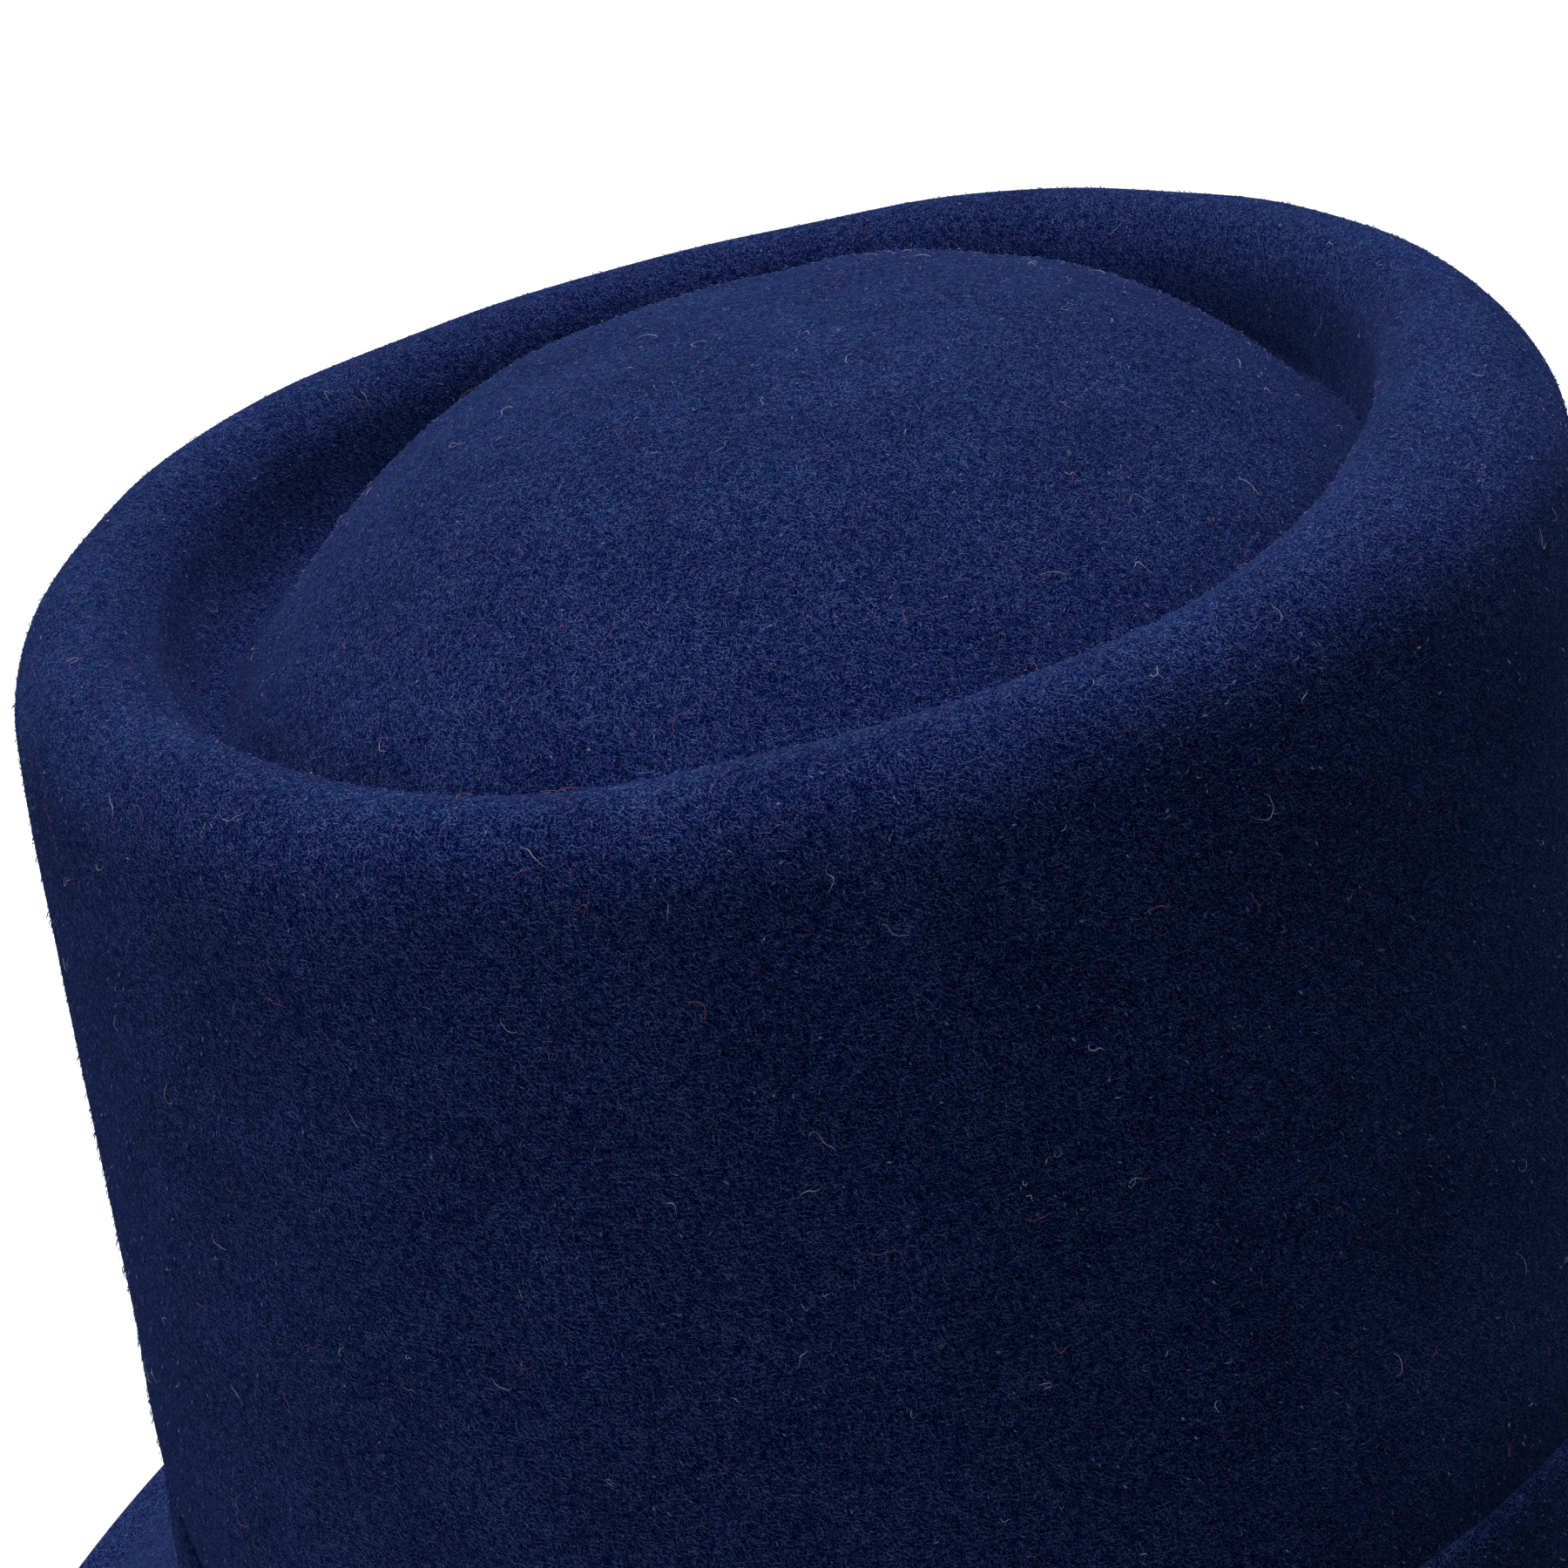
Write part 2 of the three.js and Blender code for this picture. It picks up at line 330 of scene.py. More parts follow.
height_on_hat = smooth_face[:, :, 2]
waves = np.zeros(height_on_hat.shape)
for wave in HAND_WAVES:
    angle = wave["round"] * turns + wave["start"] + height_on_hat / wave["climb"]
    waves += wave["size"] * np.sin(angle)
waves *= np.clip((height_on_hat - BAND_TOP) / FADE_ABOVE_BAND, 0.0, 1.0)
waves *= np.clip(np.hypot(smooth_face[:, :, 0], smooth_face[:, :, 1]) / FADE_AT_APEX, 0.0, 1.0)
outer_face = smooth_face + facing(smooth_face) * waves[:, :, None]
outer_face[:, :, 2] = np.maximum(outer_face[:, :, 2], FELT_THICKNESS)
outer_normal = facing(outer_face)
print("waves up to", round(float(np.abs(waves).max()), 2), "mm")


# %% [markdown]
# A finish in Blender is a graph of nodes, and a few small helpers keep the writing of one short.
# The first finish made with them is the simplest: a noise chooses between a few tones. The floor
# uses it for a paint that is nearly even, and later the loose fibres use it too.

# %% Helpers for finishes
FLOOR_TONES = ((0.2, (0.88, 0.88, 0.88)), (0.8, (0.92, 0.92, 0.92)))
FLOOR_MOTTLE = 1.2


def new_material(name):
    material = bpy.data.materials.new(name)
    material.use_nodes = True
    tree = material.node_tree
    return material, tree, tree.nodes["Principled BSDF"]


def object_place(tree):
    return tree.nodes.new("ShaderNodeTexCoord").outputs["Object"]


def noise(tree, place, scale, detail=2.0, distortion=0.0, output="Fac"):
    node = tree.nodes.new("ShaderNodeTexNoise")
    node.inputs["Scale"].default_value = scale
    node.inputs["Detail"].default_value = detail
    node.inputs["Distortion"].default_value = distortion
    tree.links.new(place, node.inputs["Vector"])
    return node.outputs[output]


def ramp(tree, value, stops):
    node = tree.nodes.new("ShaderNodeValToRGB")
    elements = node.color_ramp.elements
    elements[0].position = stops[0][0]
    elements[1].position = stops[-1][0]
    for stop in stops[1:-1]:
        elements.new(stop[0])
    for element, stop in zip(elements, stops):
        element.color = (*stop[1], 1.0)
    tree.links.new(value, node.inputs["Fac"])
    return node.outputs["Color"]


def mottled_material(name, scale, tones, roughness, specular, detail=1.0):
    material, tree, shader = new_material(name)
    mottle = noise(tree, object_place(tree), scale, detail)
    tree.links.new(ramp(tree, mottle, tones), shader.inputs["Base Color"])
    shader.inputs["Roughness"].default_value = roughness
    shader.inputs["Specular IOR Level"].default_value = specular
    return material


floor_paint = mottled_material("pale_floor", FLOOR_MOTTLE, FLOOR_TONES, roughness=0.9, specular=0.1)
print("floor paint has", len(floor_paint.node_tree.nodes), "nodes")


# %% [markdown]
# Felt is wool that has been matted, not woven. Seen close, it is a tangle of short bright fibres
# over dark pits, each about a tenth of a millimetre thick and a millimetre long. A weave could be
# drawn with waves, but a tangle has no rows, so it needs sums on numbers and on directions for
# every point that is shaded. Each of these helpers puts one such sum into the graph. The node that
# mixes has sockets of the same name for numbers, arrows and colours, so those for colours are
# picked by their place.

# %% Helpers for sums in a finish
COLOUR_INPUTS = (0, 6, 7)
COLOUR_OUTPUT = 2


def fill_inputs(tree, pairs):
    for socket, value in pairs:
        if isinstance(value, bpy.types.NodeSocket):
            tree.links.new(value, socket)
        else:
            socket.default_value = value


def combine(tree, operation, *values, clamp=False):
    node = tree.nodes.new("ShaderNodeMath")
    node.operation = operation
    node.use_clamp = clamp
    fill_inputs(tree, zip(node.inputs, values))
    return node.outputs["Value"]


def arrow(tree, operation, *vectors):
    node = tree.nodes.new("ShaderNodeVectorMath")
    node.operation = operation
    fill_inputs(tree, zip(node.inputs, vectors))
    return node.outputs["Value" if operation == "DOT_PRODUCT" else "Vector"]


def scaled(tree, vector, size):
    node = tree.nodes.new("ShaderNodeVectorMath")
    node.operation = "SCALE"
    fill_inputs(tree, ((node.inputs[0], vector), (node.inputs["Scale"], size)))
    return node.outputs["Vector"]


def blend(tree, kind, share, first, second):
    node = tree.nodes.new("ShaderNodeMix")
    node.data_type = "RGBA"
    node.blend_type = kind
    sockets = [node.inputs[place] for place in COLOUR_INPUTS]
    fill_inputs(tree, zip(sockets, (share, first, second)))
    return node.outputs[COLOUR_OUTPUT]


print("sums for a finish:", [helper.__name__ for helper in (combine, arrow, scaled, blend)])

# %% [markdown]
# One layer of fibres: space is split into cells, and each cell is a tuft of fibres that lie side by
# side. The way from the middle of the tuft to the point that is shaded is first laid flat into the
# surface. Its share along the fibres says how near their ends are, and its share across says how
# near the next fibre is. The direction is the brushing of the felt plus a random turn for each tuft.
# Three layers of different size and order cross each other. Sizes are in millimetres.

# %% One layer of fibres
FIBRE_LAYERS = (
    {
        "shift": (0.00, 0.00, 0.00), "tuft": 0.66, "apart": 0.48, "thick": 0.085,
        "long": 1.4, "brushed": -60, "stray": 1.0,
    },
    {
        "shift": (0.31, 0.17, 0.23), "tuft": 0.55, "apart": 0.42, "thick": 0.080,
        "long": 1.2, "brushed": -48, "stray": 1.6,
    },
    {
        "shift": (0.53, 0.29, 0.11), "tuft": 0.42, "apart": 0.50, "thick": 0.075,
        "long": 0.9, "brushed": -70, "stray": 3.0,
    },
)
DULLEST_FIBRE = 0.25
LUCK_PART = (0.0, 0.0, 1.0)
LUCK_POWER = 2.0
MIDDLE_CHANCE = (0.5, 0.5, 0.5)


def tuft_direction(tree, normal, tuft_chance, layer):
    slant = np.radians(layer["brushed"])
    level = arrow(tree, "CROSS_PRODUCT", UPWARDS, normal)
    climb = arrow(tree, "CROSS_PRODUCT", normal, level)
    brushed = arrow(
        tree, "ADD",
        scaled(tree, level, float(np.cos(slant))),
        scaled(tree, climb, float(np.sin(slant))),
    )
    stray = scaled(tree, arrow(tree, "SUBTRACT", tuft_chance, MIDDLE_CHANCE), layer["stray"])
    lie = arrow(tree, "ADD", brushed, stray)
    side = arrow(tree, "NORMALIZE", arrow(tree, "CROSS_PRODUCT", normal, lie))
    return arrow(tree, "CROSS_PRODUCT", side, normal), side


def fibre_layer(tree, place, normal, layer):
    cells = tree.nodes.new("ShaderNodeTexVoronoi")
    cells.inputs["Scale"].default_value = 1 / (layer["tuft"] * MM)
    moved = arrow(tree, "ADD", place, layer["shift"])
    tree.links.new(moved, cells.inputs["Vector"])
    tuft_chance = cells.outputs["Color"]
    lie, side = tuft_direction(tree, normal, tuft_chance, layer)
    away = arrow(tree, "SUBTRACT", moved, cells.outputs["Position"])
    across = arrow(tree, "DOT_PRODUCT", away, side)
    nearest = combine(tree, "PINGPONG", across, layer["apart"] * MM / 2)
    body = combine(tree, "MULTIPLY_ADD", nearest, -2 / (layer["thick"] * MM), 1.0, clamp=True)
    reach = combine(tree, "ABSOLUTE", arrow(tree, "DOT_PRODUCT", away, lie))
    ends = combine(tree, "MULTIPLY_ADD", reach, -4 / (layer["long"] * MM), 2.0, clamp=True)
    luck = combine(tree, "POWER", arrow(tree, "DOT_PRODUCT", tuft_chance, LUCK_PART), LUCK_POWER)
    shine = combine(tree, "MULTIPLY_ADD", luck, 1 - DULLEST_FIBRE, DULLEST_FIBRE)
    return combine(tree, "MULTIPLY", combine(tree, "MULTIPLY", body, ends), shine)


print("fibres lie", [layer["apart"] for layer in FIBRE_LAYERS], "mm apart in their tufts")

# %% [markdown]
# The colour of the felt: a ground of fine pits and coarser clumps, the layers of fibres over it, and
# one ramp from the black-blue of the pits to the paler blue of the fibres on top. Cloudy patches
# show where the dye took unevenly, and a few reddish flecks where it took on another wool. A slow
# wobble of the place keeps the fibres from being quite straight.

# %% Colour of the felt
FELT_TONES = (
    (0.12, (0.0000, 0.0012, 0.022)),
    (0.32, (0.0015, 0.0085, 0.060)),
    (0.52, (0.0145, 0.0295, 0.116)),
    (0.90, (0.0900, 0.1200, 0.290)),
)
RED_FLECK = (0.060, 0.014, 0.045, 1.0)
WOBBLE = {"scale": 900.0, "size": 0.00022}
PITS = {"scale": 8500.0, "share": 1.5, "level": -0.77}
CLUMPS = {"scale": 1500.0, "share": 0.6}
FIBRE_SHARE = 0.85
DYE = {"scale": 95.0, "from": 0.3, "deep": (0.84, 0.84, 0.87), "to": 0.7, "pale": (1.16, 1.16, 1.13)}
FLECKS = {"scale": 2600.0, "over": 0.70, "share": 0.6}


def felt_fibres(tree, place):
    normal = tree.nodes.new("ShaderNodeNewGeometry").outputs["Normal"]
    drift = noise(tree, place, WOBBLE["scale"], detail=1.0, output="Color")
    drift = scaled(tree, arrow(tree, "SUBTRACT", drift, MIDDLE_CHANCE), WOBBLE["size"])
    wavy = arrow(tree, "ADD", place, drift)
    first, *others = [fibre_layer(tree, wavy, normal, layer) for layer in FIBRE_LAYERS]
    for layer in others:
        first = combine(tree, "MAXIMUM", first, layer)
    return first


def felt_colour(tree, place, pits, clumps, painted_shade):
    tangle = combine(tree, "MULTIPLY_ADD", pits, PITS["share"], PITS["level"])
    tangle = combine(tree, "MULTIPLY_ADD", felt_fibres(tree, place), FIBRE_SHARE, tangle)
    tangle = combine(tree, "MULTIPLY_ADD", clumps, CLUMPS["share"], tangle)
    cloud = noise(tree, place, DYE["scale"], detail=4.0, distortion=0.4)
    # Painted shade: the dye tones are scaled by this factor, 1 for the wall and lower for the band, to
    # darken it as if in shade.
    deep = tuple(painted_shade * part for part in DYE["deep"])
    pale = tuple(painted_shade * part for part in DYE["pale"])
    dye = ramp(tree, cloud, ((DYE["from"], deep), (DYE["to"], pale)))
    colour = blend(tree, "MULTIPLY", 1.0, ramp(tree, tangle, FELT_TONES), dye)
    fleck = combine(tree, "GREATER_THAN", noise(tree, place, FLECKS["scale"], detail=1.0), FLECKS["over"])
    return blend(tree, "MIX", combine(tree, "MULTIPLY", fleck, FLECKS["share"]), colour, RED_FLECK)


print("felt tones:", len(FELT_TONES), "fleck size about", round(1 / FLECKS["scale"] / MM, 2), "mm")

# %% [markdown]
# The whole finish adds the feel of the surface: clumps and pits also raise a fine bump, nothing
# shines like a polished thing, and a weak blue sheen stands for the down that catches light where
# the felt turns away. Sheen and roughness are one number all over, so they sit on the shader itself.

# %% Felt finish
BUMP = {"clumps": 1.4, "strength": 0.8, "depth": 0.0002}
FELT_SHEEN = {"weight": 0.16, "roughness": 0.20, "tint": (0.20, 0.36, 1.0, 1.0)}
FELT_ROUGHNESS = 0.95
NO_GLOSS = 0.0


def felt_material(name, painted_shade):
    material, tree, shader = new_material(name)
    place = object_place(tree)
    pits = noise(tree, place, PITS["scale"], detail=2.0)
    clumps = noise(tree, place, CLUMPS["scale"], detail=3.0)
    colour = felt_colour(tree, place, pits, clumps, painted_shade)
    bump = tree.nodes.new("ShaderNodeBump")
    bump.inputs["Strength"].default_value = BUMP["strength"]
    bump.inputs["Distance"].default_value = BUMP["depth"]
    height = combine(tree, "MULTIPLY_ADD", clumps, BUMP["clumps"], pits)
    tree.links.new(height, bump.inputs["Height"])
    tree.links.new(bump.outputs["Normal"], shader.inputs["Normal"])
    tree.links.new(colour, shader.inputs["Base Color"])
    shader.inputs["Roughness"].default_value = FELT_ROUGHNESS
    shader.inputs["Specular IOR Level"].default_value = NO_GLOSS
    shader.inputs["Sheen Weight"].default_value = FELT_SHEEN["weight"]
    shader.inputs["Sheen Roughness"].default_value = FELT_SHEEN["roughness"]
    shader.inputs["Sheen Tint"].default_value = FELT_SHEEN["tint"]
    return material


body_felt = felt_material("body_felt", painted_shade=1.0)
print("felt finish with", len(body_felt.node_tree.nodes), "nodes")


# %% [markdown]
# Every piece of this hat is a grid of rings, so two helpers can join the points of all of them: one
# joins each ring to the next, the other closes a ring to a point.

# %% Helpers for pieces
def ring_faces(ring_count, ring_size, looped):
    ring = np.arange(ring_count if looped else ring_count - 1)[:, None]
    step = np.arange(ring_size)[None, :]
    onward = (step + 1) % ring_size
    above = (ring + 1) % ring_count
    corners = (
        ring * ring_size + step,
        ring * ring_size + onward,
        above * ring_size + onward,
        above * ring_size + step,
    )
    return np.stack(np.broadcast_arrays(*corners), axis=-1).reshape(-1, 4)


def fan_faces(pole, first, upwards):
    step = np.arange(TURNS)
    onward = (step + 1) % TURNS
    ends = (step, onward) if upwards else (onward, step)
    return np.stack([np.full(TURNS, pole), first + ends[0], first + ends[1]], axis=-1)


def new_piece(name, points, faces, material):
    mesh = bpy.data.meshes.new(name)
    mesh.from_pydata((points.reshape(-1, 3) * MM).tolist(), [], faces)
    mesh.polygons.foreach_set("use_smooth", np.ones(len(mesh.polygons), dtype=bool))
    mesh.materials.append(material)
    mesh.update()
    piece = bpy.data.objects.new(name, mesh)
    bpy.context.scene.collection.objects.link(piece)
    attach(piece, "root")
    triangles = sum(len(face) - 2 for face in faces)
    print(name, "has", len(mesh.vertices), "points and", triangles, "triangles")
    return piece


print("one ring of the felt takes", len(ring_faces(2, TURNS, looped=False)), "faces")

# %% [markdown]
# The felt has two faces and one cut edge. The inner face is the outer one moved in by the felt's
# thickness, square to the surface, and pressed flat where it would pass the table. The cut edge is
# a shade rounded, as scissors leave it. All rows together, from the middle of the inside over the
# edge to the apex, are one closed skin. Blender's Solidify would do nearly the same, but not the
# flat rest on the table. The inside needs fewer rows, because it is in the dark.

# %% Felt body
INNER_STEP = 3
EDGE_ROUND = 0.25
EDGE_SHARES = (0.2, 0.5, 0.8)
APEX_RISE = 0.02

inner_face = outer_face - outer_normal * FELT_THICKNESS
inner_face[:, :, 2] = np.maximum(inner_face[:, :, 2], 0.0)
edge_out = smooth_face[0] - smooth_face[1]
edge_out[:, 2] = 0.0
edge_out = unit(edge_out) * EDGE_ROUND
edge_rows = np.array([mix(inner_face[0], outer_face[0], share) + edge_out for share in EDGE_SHARES])
skin_rows = np.concatenate([inner_face[::INNER_STEP][::-1], edge_rows, outer_face])
apex = np.array([0.0, 0.0, outer_face[-1, :, 2].mean() + APEX_RISE])
under_apex = apex - np.array([0.0, 0.0, FELT_THICKNESS])
skin_points = np.concatenate([skin_rows.reshape(-1, 3), [under_apex, apex]])
last_ring = (len(skin_rows) - 1) * TURNS
under_pole = len(skin_points) - 2
skin_faces = ring_faces(len(skin_rows), TURNS, looped=False).tolist()
skin_faces += fan_faces(under_pole, 0, upwards=False).tolist()
skin_faces += fan_faces(under_pole + 1, last_ring, upwards=True).tolist()
felt_body = new_piece("felt_skin", skin_points, skin_faces, body_felt)
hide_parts("felt_body")
print("inside rows:", len(skin_rows) - len(outer_face) - len(EDGE_SHARES), "outside rows:", len(outer_face))

# %% [markdown]
# The band is a strip of thinner felt, drawn round the foot of the crown. Its finish is the wall's felt
# made darker as painted shade, for the shade that lies low on the crown. Its edges are cut, not
# hemmed, so they wander a little, and handling has rounded them. It is made as a ring with thickness
# whose first and last rows step in towards the wall.

# %% Band
BAND_THICKNESS = 1.2
BAND_GAP = 0.3
EDGE_GAP = 0.05
BAND_BOTTOM = 32.0
# Painted shade: the band's felt is darkened by this factor to stand for shade. The band is the same felt as
# the wall.
BAND_PAINTED_SHADE = 0.78
BAND_SHARES = (0.0, 0.02, 0.05, 0.12, 0.25, 0.4, 0.55, 0.7, 0.8, 0.88, 0.95, 0.98, 1.0)
END_ROWS = [0, 1, -2, -1]
ROUNDED_BY = (0.8, 0.3, 0.06)
EDGE_WANDER = 0.18
EDGE_WAVES = ((7, 1.0, 0.4), (13, 0.7, 2.0), (29, 0.5, 0.0))
WANDER_POWER = 3

band_felt = felt_material("band_felt", BAND_PAINTED_SHADE)
heights = [mix(BAND_BOTTOM, BAND_TOP, share) for share in BAND_SHARES]
outside = np.array([wall_oval(height, BAND_GAP + BAND_THICKNESS) for height in heights])
inside = np.array([wall_oval(height, BAND_GAP) for height in heights[::-1]])
inside[END_ROWS, :2] -= BAND_GAP - EDGE_GAP
for number, step_in in enumerate(ROUNDED_BY):
    outside[[number, -1 - number], :2] -= step_in
band_rows = points_on(np.concatenate([outside, inside]), turns)
wander = sum(size * np.sin(count * turns + start) for count, size, start in EDGE_WAVES)
towards_edge = np.abs(np.array(BAND_SHARES + BAND_SHARES[::-1]) * 2 - 1)
band_rows[:, :, 2] += EDGE_WANDER * wander[None, :] * towards_edge[:, None] ** WANDER_POWER
band_faces = ring_faces(len(band_rows), TURNS, looped=True).tolist()
hat_band = new_piece("felt_band", band_rows, band_faces, band_felt)
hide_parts("hat_band")

# %% [markdown]
# Nap is the bloom of fibre ends that stands on the felt and softens its outline. To spread fibres
# evenly, each cell of the grid is drawn as often as its area says, because cells on the brim are
# far larger than those near the apex. The place within a cell is random, and what is known at the
# grid's corners is mixed for it. A fixed seed makes each run the same.

# %% Helpers for scattering
SEED = 20

chance = np.random.default_rng(SEED)


def cell_areas(grid):
    across = np.roll(grid, -1, axis=1) - grid
    along = np.gradient(grid, axis=0)
    return np.linalg.norm(np.cross(across, along), axis=-1)[:-1]


def scattered(grid, count):
    area = cell_areas(grid).ravel()
    cells = chance.choice(area.size, size=count, p=area / area.sum())
    return cells // TURNS + chance.random(count), cells % TURNS + chance.random(count)


def sample(field, row, step):
    low_row = np.clip(row.astype(int), 0, len(field) - 2)
    low_step = np.floor(step).astype(int)
    here_step = low_step % TURNS
    next_step = (low_step + 1) % TURNS
    up_share = (row - low_row)[:, None]
    on_share = (step - low_step)[:, None]
    here = mix(field[low_row, here_step], field[low_row, next_step], on_share)
    above = mix(field[low_row + 1, here_step], field[low_row + 1, next_step], on_share)
    return mix(here, above, up_share)


print("outer face covers", round(cell_areas(outer_face).sum() / 100), "square centimetres")

# %% [markdown]
# Hair particles would be the usual way to make nap, but they don't travel into other programs. So
# each fibre is a tiny closed sliver of four faces: a root under the surface, a tip, and two points
# beside its middle, where it bends. Most fibres lie down along the brushing, and a few stand up. A
# sliver that comes out inside-out has its two middle points swapped.

# %% One sliver for each fibre
FIBRE_THICKNESS = (0.024, 0.056)
ROOT_DEPTH = 0.06
BEND_SPREAD = 28.0
TIP_RISE = 0.4
LOWEST_FIBRE = 0.1
MOSTLY_SHORT = 2
MOSTLY_FLAT = 2.5
NUDGE = 1e-6
SLIVER_POINTS = 4
SLIVER_FACES = np.array([[0, 1, 2], [3, 2, 1], [0, 3, 1], [0, 2, 3]])
MIDDLE_SWAPPED = [0, 2, 1, 3]


def slivers(root, normal, style):
    count = len(root)
    level = unit(np.cross(UPWARDS, normal) + NUDGE)
    climb = np.cross(normal, level)
    heading = np.radians(style["brushed"] + style["spread"] * chance.normal(size=count))[:, None]
    lie = np.cos(heading) * level + np.sin(heading) * climb
    half = mix(*style["length"], chance.random(count) ** MOSTLY_SHORT)[:, None] / 2
    rise = np.radians(mix(*style["lean"], chance.random(count) ** MOSTLY_FLAT))[:, None]
    bend = np.radians(chance.normal(0.0, BEND_SPREAD, count))[:, None]
    way = lie * np.cos(rise) + normal * np.sin(rise)
    tip_lie = np.cos(bend) * lie + np.sin(bend) * np.cross(normal, lie)
    tip_way = tip_lie * np.cos(rise * TIP_RISE) + normal * np.sin(rise * TIP_RISE)
    middle = root + way * half
    aside = unit(np.cross(way, normal))
    over = np.cross(aside, way)
    thick = mix(*FIBRE_THICKNESS, chance.random(count))[:, None]
    corners = (root, middle + thick * aside, middle + thick * over, middle + tip_way * half)
    return np.stack(corners, axis=1)


def nap(name, grid, style):
    count = style["count"]
    row, step = scattered(grid, count)
    normal = unit(sample(facing(grid), row, step))
    root = sample(grid, row, step) - normal * ROOT_DEPTH
    points = slivers(root, normal, style)
    points[:, :, 2] = np.maximum(points[:, :, 2], LOWEST_FIBRE)
    inside_out = np.linalg.det(points[:, 1:] - points[:, :1]) > 0
    points[inside_out] = points[inside_out][:, MIDDLE_SWAPPED]
    faces = SLIVER_FACES[None] + SLIVER_POINTS * np.arange(count)[:, None, None]
    return new_piece(name, points, faces.reshape(-1, 3).tolist(), wool_nap)


print("fibres stand", FIBRE_THICKNESS, "mm off their line and have", len(SLIVER_FACES), "faces each")

# %% [markdown]
# The nap is laid patch by patch. On the wall and the band it is brushed, slanting down to the right
# as one looks at the hat. On ridge, dome and brim it lies every way. Each patch is a stretch of the
# rows: brim and break, wall, ridge, and dome with its side of the valley.

# %% Nap fibres
NAP_TONES = (
    (0.34, (0.006, 0.016, 0.085)),
    (0.47, (0.024, 0.048, 0.175)),
    (0.57, (0.056, 0.094, 0.290)),
    (0.68, (0.120, 0.150, 0.350)),
)
LOOSE_NAP = {"count": 40000, "brushed": 0, "spread": 80, "length": (0.3, 0.95), "lean": (4, 40)}
WALL_NAP = {"count": 49000, "brushed": -60, "spread": 26, "length": (0.3, 1.1), "lean": (4, 38)}
BRIM_NAP = {"count": 19000, "brushed": 0, "spread": 90, "length": (0.35, 1.2), "lean": (4, 50)}
BAND_NAP = {"count": 16000, "brushed": -60, "spread": 30, "length": (0.35, 1.2), "lean": (4, 45)}
NAP_MOTTLE = 1300.0
RIDGE_SPAN = 14.0

wool_nap = mottled_material("wool_nap", NAP_MOTTLE, NAP_TONES, roughness=0.8, specular=0.05)
row_heights = rows[:, 2]
band_row = int(np.argmax(row_heights > BAND_BOTTOM))
wall_row = int(np.argmax(row_heights > BAND_TOP))
ridge_row = int(np.argmax(row_heights > RIDGE_HEIGHT - RIDGE_SPAN))
crest_row = ridge_row + int(np.argmax(np.diff(row_heights[ridge_row:]) < 0))
valley_row = crest_row + int(np.argmax(np.diff(row_heights[crest_row:]) > 0))
print("of", len(rows), "rows band", band_row, "wall", wall_row, "ridge", ridge_row, "valley", valley_row)
nap("nap_on_ridge", outer_face[ridge_row:valley_row + 1], LOOSE_NAP)
nap("nap_on_dome", outer_face[valley_row:], LOOSE_NAP)
nap("nap_on_wall", outer_face[wall_row:ridge_row + 1], WALL_NAP)
nap("nap_on_brim", outer_face[:band_row + 1], BRIM_NAP)
nap("nap_on_band", band_rows[:len(BAND_SHARES)], BAND_NAP)

# %% [markdown]
# Handled felt picks up loose curls of wool, some pale and some reddish where the dye did not take.
# Most are short, a few are several millimetres long. Each is a thin tube that wanders over the
# surface. The wander is drawn on the grid of the outer face, so a curl always lies on the felt,
# whatever its slope.

# %% Lines of the curls
CURL_POINTS = 13
CURL_LIFT = (0.12, 0.34)
CURL_TURN = 0.33
CURL_MEMORY = 0.55
ROW_MARGIN = 0.001
PALE_CURLS = {"count": 420, "length": (0.5, 4.4)}
RED_CURLS = {"count": 240, "length": (0.6, 4.2)}


def curl_lines(grid, style):
    count = style["count"]
    around_size = np.linalg.norm(np.roll(grid, -1, axis=1) - grid, axis=-1)[..., None]
    along_size = np.linalg.norm(np.gradient(grid, axis=0), axis=-1)[..., None]
    normal_field = facing(grid)
    row, step = scattered(grid, count)
    stride = mix(*style["length"], chance.random(count) ** MOSTLY_SHORT) / (CURL_POINTS - 1)
    heading = chance.uniform(0, 2 * np.pi, count)
    curve = np.zeros(count)
    line = []
    for share in np.linspace(0.0, 1.0, CURL_POINTS):
        lifted = mix(*CURL_LIFT, np.sin(np.pi * share))
        line.append(sample(grid, row, step) + unit(sample(normal_field, row, step)) * lifted)
        curve = curve * CURL_MEMORY + chance.normal(0.0, CURL_TURN, count)
        heading = heading + curve
        row = row + stride * np.sin(heading) / sample(along_size, row, step)[:, 0]
        step = step + stride * np.cos(heading) / sample(around_size, row, step)[:, 0]
        row = np.clip(row, 0.0, len(grid) - 1 - ROW_MARGIN)
    return np.stack(line, axis=1)


crown = outer_face[wall_row:]
pale_lines = curl_lines(crown, PALE_CURLS)
red_lines = curl_lines(crown, RED_CURLS)
print("curls:", len(pale_lines), "pale and", len(red_lines), "red")

# %% [markdown]
# A curve with a bevel would turn a line into a tube, but a mesh of small rings travels better and
# can thin out towards both ends. Four sides are enough for a thing as thin as a hair.

# %% Loose curls
CURL_SIDES = 4
CURL_MOTTLE = 700.0
CURL_THICKNESS = 0.055
SIDEWAYS = (0.31, 0.22, 0.92)
BLUNT_END = 0.05
FULL_WIDTH = 1.02
PALE_TONES = ((0.35, (0.13, 0.13, 0.21)), (0.65, (0.54, 0.48, 0.53)))
RED_TONES = ((0.35, (0.13, 0.03, 0.06)), (0.65, (0.34, 0.10, 0.15)))


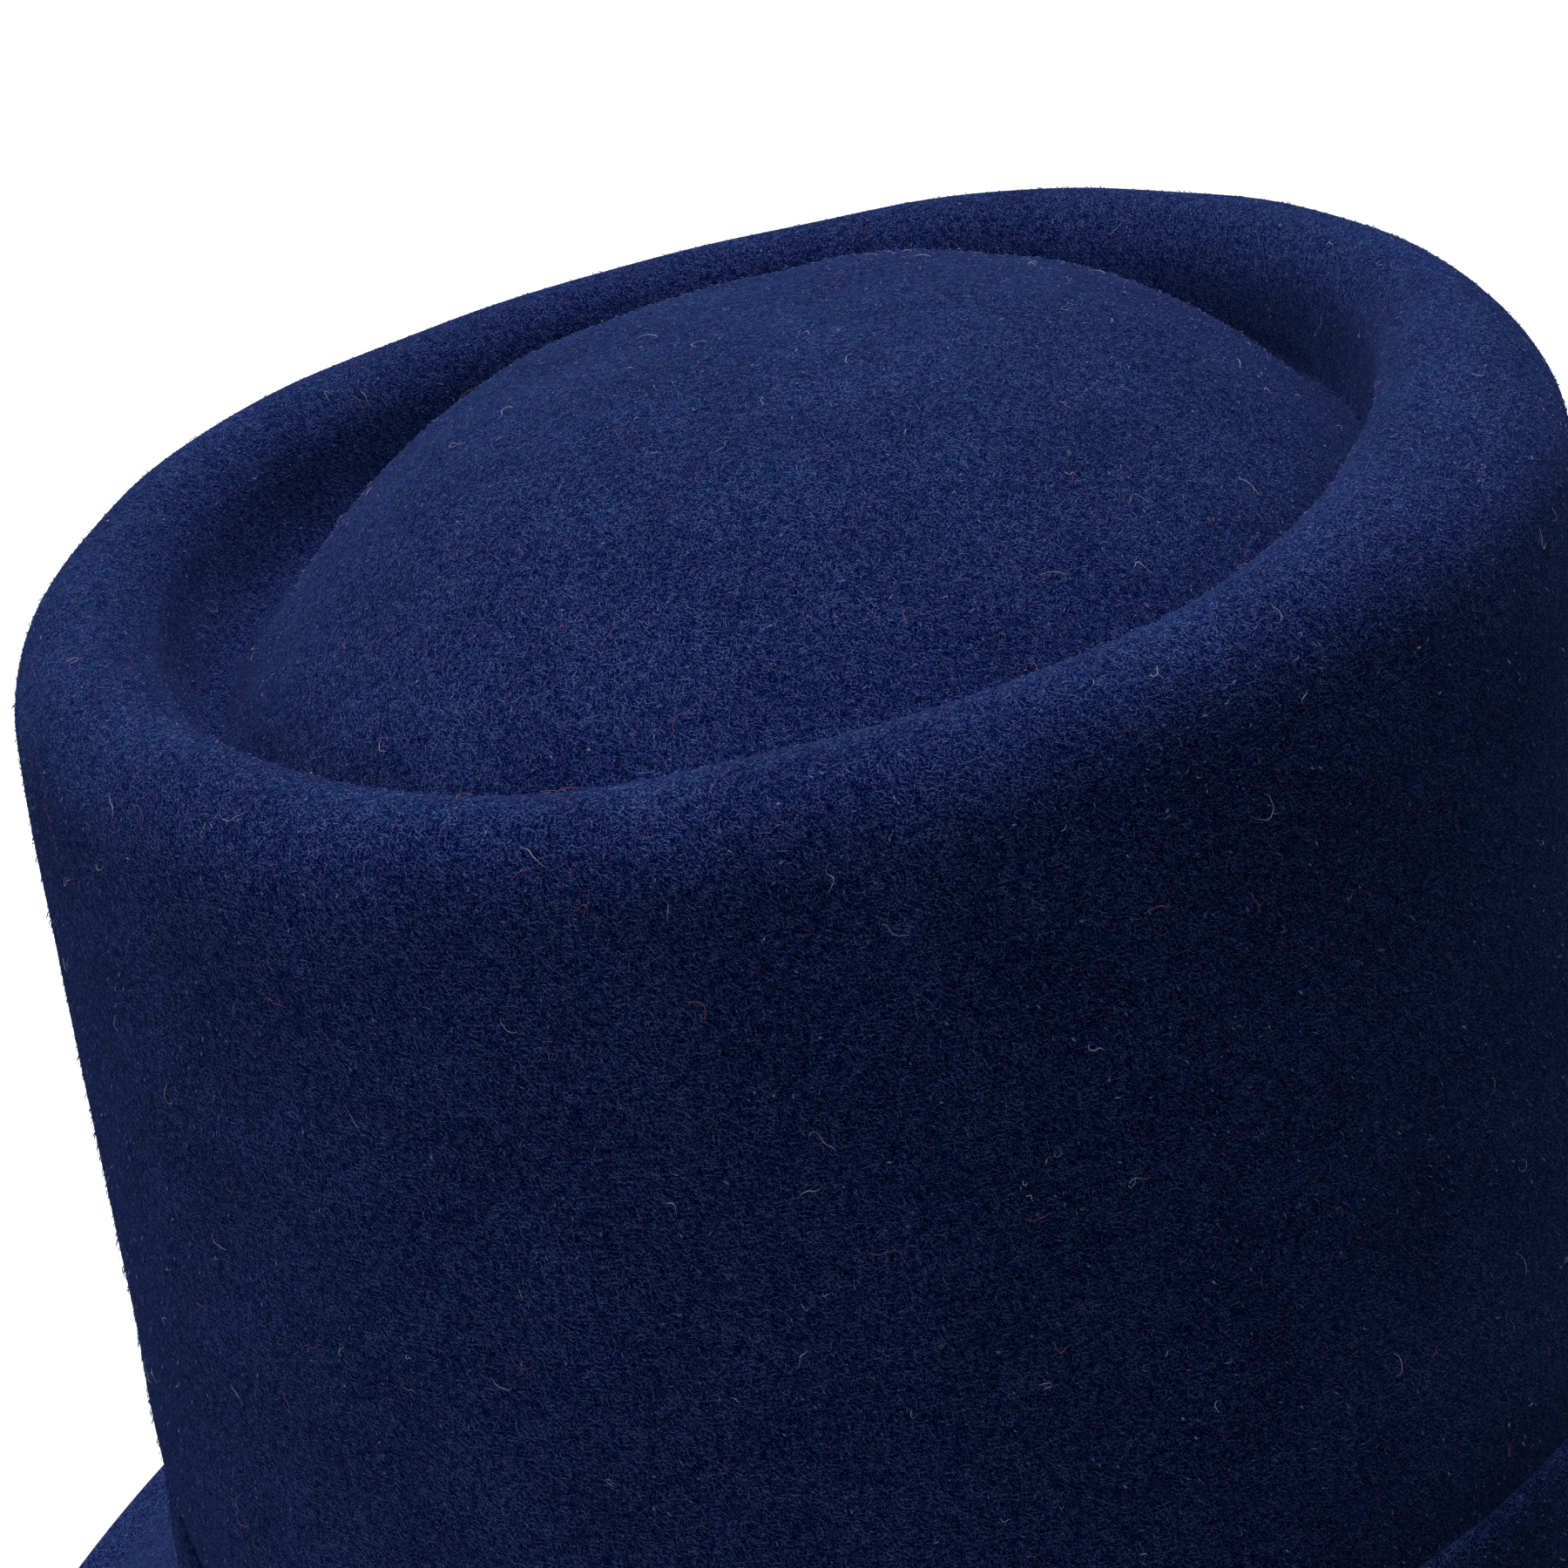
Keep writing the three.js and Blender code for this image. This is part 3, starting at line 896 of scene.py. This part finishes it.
def curls(name, lines, tones):
    way = unit(np.gradient(lines, axis=1))
    aside = unit(np.cross(way, SIDEWAYS))
    over = np.cross(way, aside)
    from_middle = np.linspace(-1, 1, CURL_POINTS)
    thin_out = np.sqrt(np.clip(FULL_WIDTH - from_middle ** 2, BLUNT_END, 1.0))
    radius = 0.5 * CURL_THICKNESS * thin_out[None, :, None]
    sides = np.arange(CURL_SIDES) * 2 * np.pi / CURL_SIDES
    rings = [lines + radius * (np.cos(turn) * aside + np.sin(turn) * over) for turn in sides]
    points = np.stack(rings, axis=2)
    start_cap = np.arange(CURL_SIDES)[::-1]
    end_cap = (CURL_POINTS - 1) * CURL_SIDES + np.arange(CURL_SIDES)
    one_curl = np.concatenate([ring_faces(CURL_POINTS, CURL_SIDES, looped=False), [start_cap, end_cap]])
    firsts = np.arange(len(lines)) * CURL_POINTS * CURL_SIDES
    faces = (one_curl[None] + firsts[:, None, None]).reshape(-1, CURL_SIDES).tolist()
    wool = mottled_material(name + "_wool", CURL_MOTTLE, tones, roughness=0.75, specular=0.3, detail=2.0)
    return new_piece(name, points, faces, wool)


curls("pale_curls", pale_lines, PALE_TONES)
curls("red_curls", red_lines, RED_TONES)
print("curls are", CURL_THICKNESS, "mm thick")

# %% [markdown]
# The hat stands on a plain pale floor, which is one large flat face. The floor is seen, and takes
# the hat's shadow, but it is left out of the bounced light: the picture's ground is bright white,
# and so much light from below would wash out the shade under the ridge.

# %% Floor
FLOOR_DROP = 0.0003
FLOOR_HALF = 14.0
FLOOR_CORNERS = ((-1, -1), (1, -1), (1, 1), (-1, 1))

floor_mesh = bpy.data.meshes.new("floor")
floor_points = [(x * FLOOR_HALF, y * FLOOR_HALF, -FLOOR_DROP) for x, y in FLOOR_CORNERS]
floor_mesh.from_pydata(floor_points, [], [(0, 1, 2, 3)])
floor_mesh.materials.append(floor_paint)
floor = bpy.data.objects.new("floor", floor_mesh)
floor.visible_diffuse = False
bpy.context.scene.collection.objects.link(floor)
print("floor", 2 * FLOOR_HALF, "m wide")

# %% [markdown]
# The studio light is soft and comes from four sides. One light overhead and one high behind the hat
# brighten dome and ridge, and leave the near wall in shade, which is what shows the depth of the
# valley. One from the front left lights the left of the wall, and a weaker one from the right, a
# little behind, keeps that side from going black. Suns with a wide disc are used, because their
# light doesn't fall off with distance and their shadows have soft edges.

# %% Light
LIGHT_WIDTH = np.radians(45)
STUDIO_LIGHTS = (
    {"name": "overhead", "turn": 0, "height": 88, "strength": 1.20},
    {"name": "behind", "turn": 168, "height": 60, "strength": 2.10},
    {"name": "right", "turn": 105, "height": 38, "strength": 0.98},
    {"name": "front_left", "turn": 305, "height": 30, "strength": 1.70},
)
SURROUND_STRENGTH = 0.02


def soft_light(name, turn, height, strength):
    light = bpy.data.objects.new(name, bpy.data.lights.new(name, "SUN"))
    light.data.energy = strength
    light.data.angle = LIGHT_WIDTH
    light.rotation_euler = (np.radians(90 - height), 0.0, AZIMUTH + np.radians(turn))
    bpy.context.scene.collection.objects.link(light)


for light in STUDIO_LIGHTS:
    soft_light(**light)
world = bpy.data.worlds.new("studio")
world.use_nodes = True
surround = world.node_tree.nodes["Background"]
surround.inputs["Color"].default_value = (1.0, 1.0, 1.0, 1.0)
surround.inputs["Strength"].default_value = SURROUND_STRENGTH
bpy.context.scene.world = world
bpy.context.scene.view_settings.view_transform = "Standard"
print("lights:", [light["name"] for light in STUDIO_LIGHTS])
